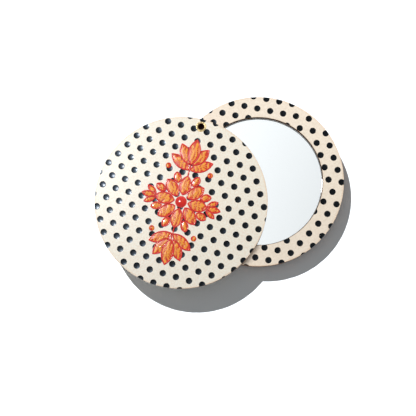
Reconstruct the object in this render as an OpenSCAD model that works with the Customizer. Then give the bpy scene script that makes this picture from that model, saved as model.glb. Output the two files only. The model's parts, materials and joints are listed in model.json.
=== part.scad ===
// Swivel pocket mirror: two round boards pinned near the rim by a tubular eyelet.
// The lower half holds a recessed round mirror, the upper half is a cover that swings aside in its own plane.
// Frame: +Z up, the mirror half lies on z = 0 centred on the origin, the pivot is on +Y.

/* [Boards] */
// Width of the ring round the opening
ring_w = 9.7; // [8:0.1:20]
// Thickness of the board that carries the mirror
base_board_t = 3; // [2:0.1:6]
// Thickness of the board with the round opening
ring_board_t = 3; // [2.8:0.1:6]
// Thickness of the cover board
cover_board_t = 3; // [1.5:0.1:6]
// Thickness of the dotted facing sheets
sheet_t = 0.3; // [0.25:0.05:0.6]
// Thickness of the plain sheets on the rear and under the cover
lining_t = 0.3; // [0.2:0.05:0.6]
// Chamfer along the outer edges of the facing sheets
edge_break = 0.12; // [0.05:0.01:0.2]

/* [Mirror] */
// Diameter of the mirror glass
mirror_d = 60; // [56:1:90]
// Thickness of the mirror glass
glass_t = 1.5; // [0.8:0.1:2]
// Bevel along the upper edge of the glass
glass_bevel = 0.3; // [0.1:0.05:0.5]
// Gap between the glass and the wall of the opening
glass_gap = 0.3; // [0.1:0.05:0.8]
// Thickness of the silver coat
silver_t = 0.05; // [0.02:0.01:0.1]
// Thickness of the paint behind the silver
backing_t = 0.05; // [0.02:0.01:0.1]
// Thickness of the adhesive pad
pad_t = 0.3; // [0.1:0.05:0.6]
// Distance of the adhesive pad's edge from the mirror's edge
pad_margin = 3; // [1:0.5:8]

/* [Dots] */
// Diameter of one dot
dot_d = 3; // [2:0.1:4]
// Distance between the dots of a row
dot_pitch = 6.25; // [5:0.01:9]
// Distance between the rows
row_pitch = 5.27; // [4.5:0.01:8]
// Depth of the pocket that holds a dot
pocket_depth = 0.2; // [0.16:0.01:0.22]
// Depth of the dish in the top of a dot
dish_depth = 0.08; // [0.04:0.01:0.14]
// Sideways place of the print on the ring
ring_print_x = 0.37; // [-3:0.01:3]
// Lengthways place of the print on the ring
ring_print_y = 2.82; // [-3:0.01:4]
// Turn of the print on the ring, in degrees
ring_print_turn = -0.3; // [-8:0.05:8]
// Shift from one row to the next on the ring
ring_row_slip = 3.25; // [2.8:0.01:3.5]
// Sideways place of the print on the cover
cover_print_x = 0.24; // [-3:0.01:3]
// Lengthways place of the print on the cover
cover_print_y = -2.27; // [-3:0.01:3]
// Turn of the print on the cover, in degrees
cover_print_turn = -1.75; // [-8:0.05:8]
// Shift from one row to the next on the cover
cover_row_slip = 3.31; // [2.8:0.01:3.5]

/* [Pivot] */
// Distance of the pivot from the rim
pivot_inset = 3.6; // [3.4:0.1:4.2]
// Hole through the eyelet
eyelet_bore_d = 2.9; // [2:0.1:3]
// Wall of the eyelet's barrel
eyelet_wall = 0.4; // [0.25:0.05:0.5]
// Outer diameter of the eyelet's rolled head and tail
eyelet_head_d = 4.8; // [4.4:0.1:5]
// Thickness of the washer under the tail
tail_washer_t = 0.25; // [0.2:0.05:0.4]
// Outer diameter of the washer under the tail
tail_washer_d = 5.4; // [5:0.1:5.6]
// Thickness of the washer between the halves
spacer_t = 0.4; // [0.2:0.1:1]
// Outer diameter of the washer between the halves
spacer_d = 6.2; // [5:0.1:6.6]
// Radial clearance of the cover on the eyelet
running_clearance = 0.05; // [0.02:0.01:0.1]
// Radial clearance of the fixed boards and washers on the eyelet
seat_clearance = 0.02; // [0.01:0.01:0.05]
// Angle by which the cover is swung open, in degrees
swing_open = 61.5; // [0:0.5:180]

/* [Ornament] */
// Height of the ornament's filled fields
fill_h = 0.15; // [0.1:0.05:0.3]
// Height of the ornament's outlines
outline_h = 0.35; // [0.3:0.05:0.6]
// Height of the veins on the filled fields
vein_h = 0.12; // [0.05:0.01:0.2]
// Width of the ornament's outlines and stems
outline_w = 0.7; // [0.5:0.05:0.9]
// Width of the vein along a petal or leaf
vein_w = 0.5; // [0.3:0.05:0.7]
// Diameter of the bead in the middle of the rosette
bead_d = 5.4; // [4:0.1:5.6]
// Height of the bead
bead_h = 0.8; // [0.5:0.1:1.2]
// Number of petals round the rosette
rosette_petals = 8; // [6:1:9]
// Length of a rosette petal
petal_l = 9.6; // [9:0.1:11]
// Width of a rosette petal
petal_w = 5.8; // [4.5:0.1:6.4]
// Length of the small leaf between two petals
sepal_l = 5.6; // [4.6:0.1:6.4]
// Width of the small leaf between two petals
sepal_w = 3.8; // [3:0.1:4.4]
// Length of a bud's middle petal
bud_l = 12.6; // [10:0.1:14]
// Width of a bud's middle petal
bud_w = 6; // [4.5:0.1:6.6]
// Length of a leaf at the foot of a bud
leaf_l = 11.6; // [9:0.1:13]
// Width of a leaf at the foot of a bud
leaf_w = 5.2; // [4:0.1:6]
// Length of the stem between the rosette and a bud
stem_l = 5; // [4:0.1:6]

/* [Hidden] */
$fn = 96;
// Overrun of every cut
over = 1;

// Radii and the pivot's place
opening_r = mirror_d / 2 + glass_gap;
disc_r = opening_r + ring_w;
pivot_y = disc_r - pivot_inset;
dot_r = dot_d / 2;
bore_r = eyelet_bore_d / 2;
barrel_r = bore_r + eyelet_wall;
head_r = eyelet_head_d / 2;
roll_r = (head_r - bore_r) / 2;
tail_gap = 0.15;
counterbore_r = tail_washer_d / 2 + tail_gap;
counterbore_depth = roll_r + tail_washer_t + tail_gap;

// Heights of the layers, from the rear up
base_z = lining_t;
ring_z = base_z + base_board_t;
ring_sheet_z = ring_z + ring_board_t;
ring_top_z = ring_sheet_z + sheet_t;
backing_z = ring_z + pad_t;
silver_z = backing_z + backing_t;
glass_z = silver_z + silver_t;
lining_z = ring_top_z + spacer_t;
cover_z = lining_z + lining_t;
cover_sheet_z = cover_z + cover_board_t;
cover_top_z = cover_sheet_z + sheet_t;
tail_z = counterbore_depth - tail_washer_t;

// Dots narrower than this at the rim or the opening are left out
least_dot = 0.5;
dish_r = (dot_r * dot_r + dish_depth * dish_depth) / (2 * dish_depth);
rows = ceil(disc_r / row_pitch) + 1;
columns = ceil(disc_r * 2 / dot_pitch);

// Ornament: gaps, directions and shares of its upright arms, its cross arms and its berries
bead_gap = 0.3;
blade_gap = 0.08;
bud_fan_deg = 33;
leaf_fan_deg = 60;
side_petal_share = 0.86;
cross_share = 0.56;
berry_share = 0.5;
petal_root = bead_d / 2 + bead_gap;
rosette_r = petal_root + petal_l;
sepal_root_share = 0.6;
sepal_root = petal_root + petal_l * sepal_root_share;
bud_root = rosette_r + stem_l;
leaf_root = rosette_r + stem_l / 2;
cross_root = rosette_r - outline_w;
berry_r = leaf_w * berry_share / 2;
berry_place = [leaf_root, leaf_l * side_petal_share];

function turned(p, a) = [p.x * cos(a) - p.y * sin(a), p.x * sin(a) + p.y * cos(a)];

// A blade is a petal or leaf bounded by two arcs: its root, the direction of its tip, its length and its width
function blade(arm, place, a, l, w) = [turned(place, arm), arm + a, l, w];

// A bud is three blades, the side ones first, because later blades lie over earlier ones
function bud(arm, root, l, w) =
    let (side_l = l * side_petal_share, side_w = w * side_petal_share)
    [for (f = [-1, 1]) blade(arm, [root, f * outline_w], f * bud_fan_deg, side_l, side_w),
     blade(arm, [root, 0], 0, l, w)];
sepals = [for (i = [0:rosette_petals - 1])
    blade((i + 1 / 2) * 360 / rosette_petals, [sepal_root, 0], 0, sepal_l, sepal_w)];
petals = [for (i = [0:rosette_petals - 1])
    blade(i * 360 / rosette_petals, [petal_root, 0], 0, petal_l, petal_w)];
leaves = [for (arm = [90, 270]) for (f = [-1, 1])
    blade(arm, [leaf_root, 0], f * leaf_fan_deg, leaf_l, leaf_w)];
buds = [for (arm = [90, 270]) each bud(arm, bud_root, bud_l, bud_w)];
cross_buds = [for (arm = [0, 180]) each bud(arm, cross_root, bud_l * cross_share, bud_w * cross_share)];
blades = concat(leaves, buds, cross_buds, sepals, petals);
berries = [for (arm = [90, 270]) for (f = [-1, 1]) turned([berry_place.x, f * berry_place.y], arm)];

// Radius of the two arcs that bound a blade of length l and width w
function blade_arc(l, w) = (l * l + w * w) / (4 * w);

// Every dot of a print that shows on a disc with a hole of radius hole_r in it
function print_points(place, turn, slip, hole_r) = [
    for (row = [-rows:rows]) for (column = [-columns:columns])
        let (start = slip * row - dot_pitch * round(slip * row / dot_pitch),
             p = place + turned([start + column * dot_pitch, -row * row_pitch], turn))
        if (norm(p) < disc_r + dot_r - least_dot && norm(p) > hole_r - dot_r + least_dot) p];
ring_print = print_points([ring_print_x, ring_print_y], ring_print_turn, ring_row_slip, opening_r);
cover_print = print_points([cover_print_x, cover_print_y], cover_print_turn, cover_row_slip, -dot_r);

// A round blank of radius r and thickness t, with a hole of radius hole_r for the eyelet
module blank(r, t, hole_r) {
    difference() {
        cylinder(r = r, h = t);
        translate([0, pivot_y, -over]) cylinder(r = hole_r, h = t + 2 * over);
    }
}

// The same blank with a chamfer along its upper edge
module eased_blank(r, t, hole_r) {
    difference() {
        rotate_extrude()
            polygon([[0, 0], [r, 0], [r, t - edge_break], [r - edge_break, t], [0, t]]);
        translate([0, pivot_y, -over]) cylinder(r = hole_r, h = t + 2 * over);
    }
}

// The round opening, with a chamfer along its upper edge at height t
module opening_cut(t) {
    rotate_extrude()
        polygon([[0, -over], [opening_r, -over], [opening_r, t - edge_break],
                 [opening_r + edge_break, t], [opening_r + edge_break, t + over], [0, t + over]]);
}

module pocket(p) {
    translate([p.x, p.y, sheet_t - pocket_depth]) cylinder(r = dot_r, h = pocket_depth + over, $fn = 48);
}

// One dot: fills its pocket to the brim at the edge and is dished towards the middle
module dot(p) {
    translate([p.x, p.y, sheet_t - pocket_depth])
        rotate_extrude($fn = 48)
            difference() {
                square([dot_r, pocket_depth]);
                translate([0, pocket_depth - dish_depth + dish_r]) circle(r = dish_r, $fn = 360);
            }
}

// Whether a dot is cut by the rim, the opening or the pivot hole
function is_cut(p, hole_r, pivot_hole_r) =
    norm(p) + dot_r > disc_r - edge_break || norm(p) - dot_r < hole_r + edge_break
    || norm(p - [0, pivot_y]) < pivot_hole_r + dot_r;

module whole_dots(points, hole_r, pivot_hole_r) {
    for (p = points) if (!is_cut(p, hole_r, pivot_hole_r)) dot(p);
}
module cut_dots(points, hole_r, pivot_hole_r) {
    for (p = points) if (is_cut(p, hole_r, pivot_hole_r)) dot(p);
}

// The cover's pieces are drawn closed over the mirror and swung open about the pivot
module swung() {
    translate([0, pivot_y, 0]) rotate([0, 0, -swing_open]) translate([0, -pivot_y, 0]) children();
}

// Mirror half
module base_board() {
    color("peru")
        translate([0, 0, base_z])
            difference() {
                blank(disc_r, base_board_t, barrel_r + seat_clearance);
                translate([0, pivot_y, -over])
                    cylinder(r = counterbore_r, h = counterbore_depth - lining_t + over);
            }
}

module back_sheet() {
    color("linen") blank(disc_r, lining_t, counterbore_r);
}

module ring_board() {
    color("peru")
        translate([0, 0, ring_z])
            difference() {
                blank(disc_r, ring_board_t, barrel_r + seat_clearance);
                translate([0, 0, -over]) cylinder(r = opening_r, h = ring_board_t + 2 * over);
            }
}

module ring_sheet() {
    color("antiquewhite")
        translate([0, 0, ring_sheet_z])
            difference() {
                eased_blank(disc_r, sheet_t, barrel_r + seat_clearance);
                opening_cut(sheet_t);
                for (p = ring_print) pocket(p);
            }
}

module ring_dots() {
    color([0.09, 0.09, 0.11])
        translate([0, 0, ring_sheet_z]) {
            whole_dots(ring_print, opening_r, barrel_r + seat_clearance);
            intersection() {
                cut_dots(ring_print, opening_r, barrel_r + seat_clearance);
                difference() {
                    eased_blank(disc_r, sheet_t, barrel_r + seat_clearance);
                    opening_cut(sheet_t);
                }
            }
        }
}

// Mirror
module mirror_glass() {
    glass_r = mirror_d / 2;
    color([0.85, 0.93, 0.95, 0.5])
        translate([0, 0, glass_z])
            rotate_extrude()
                polygon([[0, 0], [glass_r, 0], [glass_r, glass_t - glass_bevel],
                         [glass_r - glass_bevel, glass_t], [0, glass_t]]);
}

module mirror_silvering() {
    color("gainsboro") translate([0, 0, silver_z]) cylinder(d = mirror_d, h = silver_t);
}

module mirror_backing() {
    color("slategray") translate([0, 0, backing_z]) cylinder(d = mirror_d, h = backing_t);
}

module mirror_adhesive() {
    color("white") translate([0, 0, ring_z]) cylinder(r = mirror_d / 2 - pad_margin, h = pad_t);
}

// Pivot
module eyelet() {
    color("gold")
        translate([0, pivot_y, 0])
            rotate_extrude() {
                translate([bore_r, tail_z]) square([eyelet_wall, cover_top_z - tail_z]);
                // Rolled head on the cover's face
                translate([0, cover_top_z]) intersection() {
                    translate([bore_r + roll_r, 0]) circle(r = roll_r);
                    square([head_r, roll_r]);
                }
                // Rolled tail under the washer
                translate([0, tail_z - roll_r]) intersection() {
                    translate([bore_r + roll_r, roll_r]) circle(r = roll_r);
                    square([head_r, roll_r]);
                }
            }
}

module washer(r, t) {
    difference() {
        cylinder(r = r, h = t);
        translate([0, 0, -over]) cylinder(r = barrel_r + seat_clearance, h = t + 2 * over);
    }
}

module tail_washer() {
    color("goldenrod") translate([0, pivot_y, tail_z]) washer(tail_washer_d / 2, tail_washer_t);
}

module spacer_washer() {
    color("whitesmoke") translate([0, pivot_y, ring_top_z]) washer(spacer_d / 2, spacer_t);
}

// Cover
module cover_board() {
    color("peru")
        swung() translate([0, 0, cover_z]) blank(disc_r, cover_board_t, barrel_r + running_clearance);
}

module cover_sheet() {
    color("antiquewhite")
        swung() translate([0, 0, cover_sheet_z])
            difference() {
                eased_blank(disc_r, sheet_t, barrel_r + running_clearance);
                for (p = cover_print) pocket(p);
            }
}

module cover_dots() {
    color([0.09, 0.09, 0.11])
        swung() translate([0, 0, cover_sheet_z]) {
            whole_dots(cover_print, -disc_r, barrel_r + running_clearance);
            intersection() {
                cut_dots(cover_print, -disc_r, barrel_r + running_clearance);
                eased_blank(disc_r, sheet_t, barrel_r + running_clearance);
            }
        }
}

module cover_lining() {
    color("linen")
        swung() translate([0, 0, lining_z]) blank(disc_r, lining_t, barrel_r + running_clearance);
}

// Ornament
// The outline of a blade drawn in by inset
module blade_shape(b, inset) {
    r = blade_arc(b[2], b[3]);
    translate([b[0].x, b[0].y]) rotate(b[1]) translate([b[2] / 2, 0])
        intersection() {
            translate([0, r - b[3] / 2]) circle(r = r - inset, $fn = 360);
            translate([0, b[3] / 2 - r]) circle(r = r - inset, $fn = 360);
        }
}

// The blades that lie over blade i, where they reach it
function reach(b) = b[0] + turned([b[2] / 2, 0], b[1]);
function covers(i) = [for (j = [i + 1:1:len(blades) - 1])
    if (norm(reach(blades[i]) - reach(blades[j])) < (blades[i][2] + blades[j][2]) / 2) blades[j]];

// What shows of blade i, drawn in by inset, beside the blades over it
module shown_blade(i, inset) {
    difference() {
        blade_shape(blades[i], inset);
        for (b = covers(i)) blade_shape(b, -blade_gap);
    }
}

module motif_fill() {
    color("orange")
        swung() translate([0, 0, cover_top_z]) {
            for (i = [0:len(blades) - 1]) linear_extrude(fill_h) shown_blade(i, outline_w);
            for (c = berries) translate([c.x, c.y, 0]) cylinder(r = berry_r - outline_w / 2, h = fill_h);
        }
}

module motif_outline() {
    color("orangered")
        swung() translate([0, 0, cover_top_z])
            linear_extrude(outline_h) {
                for (i = [0:len(blades) - 1])
                    difference() {
                        shown_blade(i, 0);
                        blade_shape(blades[i], outline_w);
                    }
                for (c = berries)
                    translate([c.x, c.y]) difference() {
                        circle(r = berry_r);
                        circle(r = berry_r - outline_w / 2);
                    }
            }
}

// Stems from the rosette to the upright buds, under the leaves' roots
module motif_stems() {
    color("crimson")
        swung() translate([0, 0, cover_top_z])
            linear_extrude(outline_h)
                for (arm = [90, 270]) rotate(arm)
                    difference() {
                        translate([rosette_r, -outline_w / 2]) square([stem_l, outline_w]);
                        for (b = concat(petals, leaves, buds)) rotate(-arm) blade_shape(b, -blade_gap);
                    }
}

module motif_veins() {
    color("yellow")
        swung() translate([0, 0, cover_top_z + fill_h])
            for (b = blades)
                linear_extrude(vein_h)
                    blade_shape([b[0] + turned([b[2] / 4, 0], b[1]), b[1], b[2] / 2, vein_w], 0);
}

module motif_centre() {
    dome_r = (bead_d * bead_d / 4 + bead_h * bead_h) / (2 * bead_h);
    color("red")
        swung() translate([0, 0, cover_top_z])
            rotate_extrude()
                intersection() {
                    square([bead_d, bead_h]);
                    translate([0, bead_h - dome_r]) circle(r = dome_r, $fn = 360);
                }
}

base_board();
back_sheet();
ring_board();
ring_sheet();
ring_dots();
mirror_glass();
mirror_silvering();
mirror_backing();
mirror_adhesive();
eyelet();
tail_washer();
spacer_washer();
cover_board();
cover_sheet();
cover_dots();
cover_lining();
motif_fill();
motif_outline();
motif_stems();
motif_veins();
motif_centre();
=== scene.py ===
"""Dresses a swivel pocket mirror: boards, dotted faces, mirror, eyelet, ornament and a plain pale stage."""

import json
import math
from collections import namedtuple

import bpy
import numpy as np
from bpy.props import FloatProperty, FloatVectorProperty, IntProperty, PointerProperty
from mathutils import Matrix, Vector
from mathutils.geometry import delaunay_2d_cdt


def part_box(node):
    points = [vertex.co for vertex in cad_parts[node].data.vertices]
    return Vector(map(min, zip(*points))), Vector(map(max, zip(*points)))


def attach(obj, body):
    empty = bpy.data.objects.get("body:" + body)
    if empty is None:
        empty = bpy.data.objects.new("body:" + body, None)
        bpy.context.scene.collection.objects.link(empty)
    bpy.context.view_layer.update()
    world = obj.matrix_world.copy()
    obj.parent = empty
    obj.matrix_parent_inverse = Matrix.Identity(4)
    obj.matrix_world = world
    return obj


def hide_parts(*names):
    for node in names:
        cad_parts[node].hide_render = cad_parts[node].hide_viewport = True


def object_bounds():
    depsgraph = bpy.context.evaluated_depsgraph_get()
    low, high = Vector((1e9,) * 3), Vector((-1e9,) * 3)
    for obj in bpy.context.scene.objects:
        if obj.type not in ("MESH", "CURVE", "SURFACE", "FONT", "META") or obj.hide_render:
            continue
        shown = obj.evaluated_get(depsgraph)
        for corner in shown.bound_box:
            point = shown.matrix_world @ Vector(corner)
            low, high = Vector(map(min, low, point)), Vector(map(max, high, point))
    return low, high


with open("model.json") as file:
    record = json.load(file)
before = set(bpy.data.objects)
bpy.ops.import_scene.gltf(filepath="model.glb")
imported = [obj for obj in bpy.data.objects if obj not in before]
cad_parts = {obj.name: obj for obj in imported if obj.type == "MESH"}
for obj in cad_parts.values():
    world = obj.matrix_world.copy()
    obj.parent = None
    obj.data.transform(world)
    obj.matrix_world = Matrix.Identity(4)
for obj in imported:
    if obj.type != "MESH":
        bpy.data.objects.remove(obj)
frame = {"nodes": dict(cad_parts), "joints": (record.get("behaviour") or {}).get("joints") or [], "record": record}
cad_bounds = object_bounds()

bl_info = {
    "name": "Swivel Pocket Mirror",
    "version": (1, 0, 0),
    "blender": (4, 5, 0),
    "location": "View3D > Sidebar > Pocket Mirror",
    "description": "Builds a pocket mirror with a dotted swivel cover round its packed model",
    "category": "Object",
}

MM = 0.001
ORIGIN = (0.0, 0.0)
MIRROR_HALF = "mirror_half"
COVER = "cover"

# Points closer together than this are one point when a flat region is cut into triangles
MERGE = 1e-8
# Edges whose faces turn by more than this stay sharp
SHARP_ANGLE = math.radians(28)

# Numbers of points round the rims, the opening, the pivot's holes, a dot or berry, the middle of one, the
# pieces of the pivot, and the bead
RIM_POINTS = 288
OPENING_POINTS = 224
HOLE_POINTS = 64
DOT_POINTS = 48
DISH_POINTS = 24
PIVOT_POINTS = 96
BEAD_POINTS = 72
# Numbers of steps over the roll of the eyelet and from the bead's rim to its top
ROLL_STEPS = 16
BEAD_STEPS = 12


def linear(hex_colour):
    """Turns an sRGB hex colour into linear red, green, blue and a full alpha."""
    parts = [int(hex_colour[i:i + 2], 16) / 255 for i in (0, 2, 4)]
    return [c / 12.92 if c <= 0.04045 else ((c + 0.055) / 1.055) ** 2.4 for c in parts] + [1.0]


def low(node):
    """The lowest corner of a CAD node's box."""
    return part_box(node)[0]


def high(node):
    """The highest corner of a CAD node's box."""
    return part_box(node)[1]


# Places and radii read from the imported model
DISC_R = high("base_board").x
GLASS_R = high("mirror_glass").x
PIVOT = Vector(frame["joints"][0]["pos_m"])
EYELET_HOLE = next(m for m in frame["record"]["mounts"] if m["name"] == "eyelet_hole")
BORE_R = EYELET_HOLE["dims"]["r_mm"] * MM
HEAD_R = high("eyelet").x
SPACER_R = high("spacer_washer").x
TAIL_WASHER_R = high("tail_washer").x
PIVOT_PLACE = (0.0, PIVOT.y)
COVER_CENTRE = (low("cover_board") + high("cover_board")) / 2

# The cover's pieces are drawn closed over the mirror, and this turns them open about the pivot
OPEN_ANGLE = math.atan2(COVER_CENTRE.x, PIVOT.y - COVER_CENTRE.y)
SWUNG = (Matrix.Translation((0, PIVOT.y, 0)) @ Matrix.Rotation(OPEN_ANGLE, 4, "Z")
         @ Matrix.Translation((0, -PIVOT.y, 0)))


def length(name, default_mm, about):
    """A size that the user can change, given in millimetres and held in metres."""
    return FloatProperty(name=name, description=about, default=default_mm * MM, unit="LENGTH", precision=5)


def colour(name, hex_colour, about):
    """A colour that the user can change."""
    return FloatVectorProperty(name=name, description=about, default=linear(hex_colour), subtype="COLOR",
                               size=4, min=0, max=1)


def angle(name, degrees, about):
    """An angle that the user can change, given in degrees."""
    return FloatProperty(name=name, description=about, default=math.radians(degrees), unit="ROTATION")


def number(name, default, about, unit="NONE"):
    """A plain number that the user can change."""
    return FloatProperty(name=name, description=about, default=default, unit=unit)


class MirrorSizes(bpy.types.PropertyGroup):
    """Sizes of the boards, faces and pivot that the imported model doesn't give as a box."""
    opening_gap: length("Opening gap", 0.3, "Gap between the glass and the wall of the opening")
    board_ease: length("Board ease", 0.1, "Rounding of the boards' edges")
    face_ease: length("Face ease", 0.12, "Rounding of the dotted faces' upper edges")
    glass_bevel: length("Glass bevel", 0.08, "Bevel along the upper edge of the mirror glass")
    eyelet_wall: length("Eyelet wall", 0.4, "Wall of the eyelet's barrel")
    seat_clearance: length("Seat clearance", 0.02, "Clearance of the fixed boards on the eyelet")
    running_clearance: length("Running clearance", 0.05, "Clearance of the cover on the eyelet")
    counterbore_gap: length("Counterbore gap", 0.15, "Gap round the washer in the base board")
    washer_ease: length("Washer ease", 0.06, "Bevel along the washers' edges")
    dot_diameter: length("Dot diameter", 3, "Diameter of one printed dot")
    dot_pitch: length("Dot pitch", 6.25, "Distance between the dots of a row")
    row_pitch: length("Row pitch", 5.27, "Distance between the rows of dots")
    pocket_depth: length("Pocket depth", 0.2, "Depth of the pocket that holds a dot")
    dish_depth: length("Dish depth", 0.08, "Depth of the dish in the top of a dot")
    least_dot: length("Least dot", 0.5, "Dots narrower than this at a rim are left out")
    ring_print_x: length("Ring print X", 0.37, "Sideways place of the print on the ring")
    ring_print_y: length("Ring print Y", 2.82, "Lengthways place of the print on the ring")
    ring_row_slip: length("Ring row slip", 3.25, "Shift from one row to the next on the ring")
    ring_print_turn: angle("Ring print turn", -0.3, "Turn of the print on the ring")
    cover_print_x: length("Cover print X", 0.24, "Sideways place of the print on the cover")
    cover_print_y: length("Cover print Y", -2.27, "Lengthways place of the print on the cover")
    cover_row_slip: length("Cover row slip", 3.31, "Shift from one row to the next on the cover")
    cover_print_turn: angle("Cover print turn", -1.75, "Turn of the print on the cover")


class OrnamentSizes(bpy.types.PropertyGroup):
    """Sizes of the raised ornament on the cover."""
    outline_w: length("Outline width", 0.7, "Width of the cords round petals and leaves")
    outline_h: length("Outline height", 0.35, "Height of the cords")
    fill_h: length("Fill height", 0.15, "Height of the enamel fields at their edges")
    crown: length("Crown", 0.1, "Rise of an enamel field towards its middle")
    vein_h: length("Vein height", 0.1, "Height of the veins over the fields")
    vein_w: length("Vein width", 0.5, "Width of the vein along a petal or leaf")
    rib_w: length("Rib width", 0.3, "Width of the side ribs")
    rib_pitch: length("Rib pitch", 1.05, "Distance between side ribs along the vein")
    blade_gap: length("Blade gap", 0.08, "Gap round a petal that lies over another")
    bead_d: length("Bead diameter", 5.4, "Diameter of the bead in the middle")
    bead_h: length("Bead height", 0.8, "Height of the bead")
    bead_gap: length("Bead gap", 0.3, "Gap between the bead and the petals")
    petal_l: length("Petal length", 9.6, "Length of a rosette petal")
    petal_w: length("Petal width", 5.8, "Width of a rosette petal")
    sepal_l: length("Sepal length", 5.6, "Length of the small leaf between two petals")
    sepal_w: length("Sepal width", 3.8, "Width of the small leaf between two petals")
    bud_l: length("Bud length", 12.6, "Length of a bud's middle petal")
    bud_w: length("Bud width", 6, "Width of a bud's middle petal")
    leaf_l: length("Leaf length", 11.6, "Length of a leaf at the foot of a bud")
    leaf_w: length("Leaf width", 5.2, "Width of a leaf at the foot of a bud")
    stem_l: length("Stem length", 5, "Length of the stem between the rosette and a bud")
    petals: IntProperty(name="Petals", description="Petals round the rosette", default=8, min=6, max=9)
    bud_fan: angle("Bud fan", 33, "Angle of a bud's side petals")
    leaf_fan: angle("Leaf fan", 60, "Angle of the leaves at the foot of a bud")
    rib_angle: angle("Rib angle", 38, "Angle of the side ribs to the vein")


class MirrorColours(bpy.types.PropertyGroup):
    """Colours of the finishes."""
    ring_cream: colour("Ring cream", "F5E8D6", "Ground colour of the ring's dotted face")
    cover_cream: colour("Cover cream", "F0EDDF", "Ground colour of the cover's dotted face")
    cream_fleck: colour("Cream fleck", "EADBC7", "Flecks in the cream")
    scorch: colour("Scorch", "E6C19A", "Heat tint along the cut edges of the faces")
    cut_edge: colour("Cut edge", "8B6A50", "Toasted edge of the cut paper")
    dots: colour("Dots", "050606", "Ink of the dots")
    dot_haze: colour("Dot haze", "BFD6F0", "Tint of the haze on the dots")
    board: colour("Board", "B98F66", "Face of the fibreboard")
    board_cut: colour("Board cut", "946A4B", "Laser-cut wall of the fibreboard")
    # Board char is also used on the glass's ground edge, in dark flecks that are painted shade
    board_char_and_edge_shade: colour("Board char", "4A3528", "Charred streaks on the cut wall")
    lining: colour("Lining", "EFE3D2", "Plain paper on the rear and under the cover")
    glass: colour("Glass", "FEFFFF", "Tint of the mirror glass")
    # The ground edge's dark grey-brown is painted shade of the narrow gap round the glass
    ground: colour("Ground edge", "786B62", "Ground edge of the glass")
    silver: colour("Silver", "F9FDFF", "Silver coat behind the glass")
    backing: colour("Backing", "5F6670", "Paint behind the silver")
    backing_grain: colour("Backing grain", "545A63", "Spray grain in the backing paint")
    adhesive: colour("Adhesive", "E6E3DA", "Foam pad under the mirror")
    brass: colour("Brass", "F4DCA2", "Eyelet and washer")
    tarnish: colour("Tarnish", "A0522A", "Tarnish in patches of the brass and inside the tube")
    nylon: colour("Nylon", "ECE9E0", "Washer between the halves")
    red: colour("Red", "DB2622", "Cords of the ornament")
    orange: colour("Orange", "DA4015", "Fields of the ornament")
    flame: colour("Flame", "C92B1C", "Deeper pools in the fields")
    yellow: colour("Yellow", "F5A234", "Veins and filigree of the ornament")


class StageSettings(bpy.types.PropertyGroup):
    """Camera and light. Sides and turns are measured in the picture, from its right towards its top."""
    camera_distance: length("Camera distance", 350, "Distance from the aim to the camera")
    camera_turn: angle("Camera turn", -47, "Turn of the picture's axes to the part's axes")
    camera_lean_x: angle("Camera lean X", 5.42, "Lean of the camera towards the foot of the picture")
    camera_lean_y: angle("Camera lean Y", 0.68, "Lean of the camera to the side")
    aim_x: length("Aim X", -11.84, "Aim to the right of the mirror's centre")
    aim_y: length("Aim Y", -24.35, "Aim above the mirror's centre in the picture")
    aim_z: length("Aim Z", 5, "Height of the aim")
    lens: number("Lens", 64.9, "Focal length of the camera", "CAMERA")
    shift: number("Shift", 0.06, "Shift of the picture in both directions")
    key_tilt: angle("Key tilt", 23.5, "Angle of the key light from straight above")
    key_side: angle("Key side", 149, "Side that the key light comes from")
    key_distance: length("Key distance", 650, "Distance of the key light")
    key_size: length("Key size", 420, "Width of the key light")
    spark_size: length("Spark size", 70, "Width of the small bright lamp in the middle of the key light")
    key_light: number("Key light", 0.39, "Light that the key gives an upward face")
    spark_light: number("Spark light", 0.33, "Light of the small lamp by the same measure, in gloss alone")
    fill_tilt: angle("Fill tilt", 38, "Angle of the fill light from straight above")
    fill_side: angle("Fill side", 62, "Side that the fill light comes from")
    fill_distance: length("Fill distance", 340, "Distance of the fill light")
    fill_size: length("Fill size", 200, "Width of the fill light")
    fill_light: number("Fill light", 0.35, "Light that the fill gives an upward face")
    ambient: number("Ambient", 0.235, "Light that the studio overhead gives an upward face")
    sun_tilt: angle("Sun tilt", 51, "Angle from straight above of the lamp that casts the shadow")
    sun_side: angle("Sun side", 122, "Side on which the lamp that casts the shadow stands")
    sun_width: angle("Sun width", 0.4, "Width of the lamp that casts the shadow, as seen from the floor")
    sun_light: number("Sun light", 1.3, "Light that the floor gets from the lamp that casts the shadow")
    fall_side: angle("Fall side", -25, "Side towards which the light in the mirror falls off")
    ceiling: number("Ceiling", 0.2, "Brightness of the ceiling in gloss")
    paper: colour("Paper", "F4FAFE", "Sheet of paper that the mirror lies on")


def circle(centre, radius, count):
    """Points of a circle, counter-clockwise."""
    turns = np.arange(count) * 2 * math.pi / count
    return np.column_stack([centre[0] + radius * np.cos(turns), centre[1] + radius * np.sin(turns)])


def distance(points, centre):
    """Distance of flat points from a centre."""
    return np.hypot(points[:, 0] - centre[0], points[:, 1] - centre[1])


def triangles(loops, seeds):
    """Cuts the plane into triangles along closed loops and through loose points."""
    edges = []
    first = 0
    for loop in loops:
        count = len(loop)
        edges.extend((first + i, first + (i + 1) % count) for i in range(count))
        first += count
    points = np.concatenate([*loops, *seeds])
    flat, _, faces, *_ = delaunay_2d_cdt([Vector(p) for p in points], edges, [], 0, MERGE)
    flat = np.array(flat)
    faces = np.array(faces)
    sides = flat[faces[:, 1:]] - flat[faces[:, :1]]
    area = sides[:, 0, 0] * sides[:, 1, 1] - sides[:, 0, 1] * sides[:, 1, 0]
    faces[area < 0] = faces[area < 0][:, ::-1]
    return flat, faces


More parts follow.
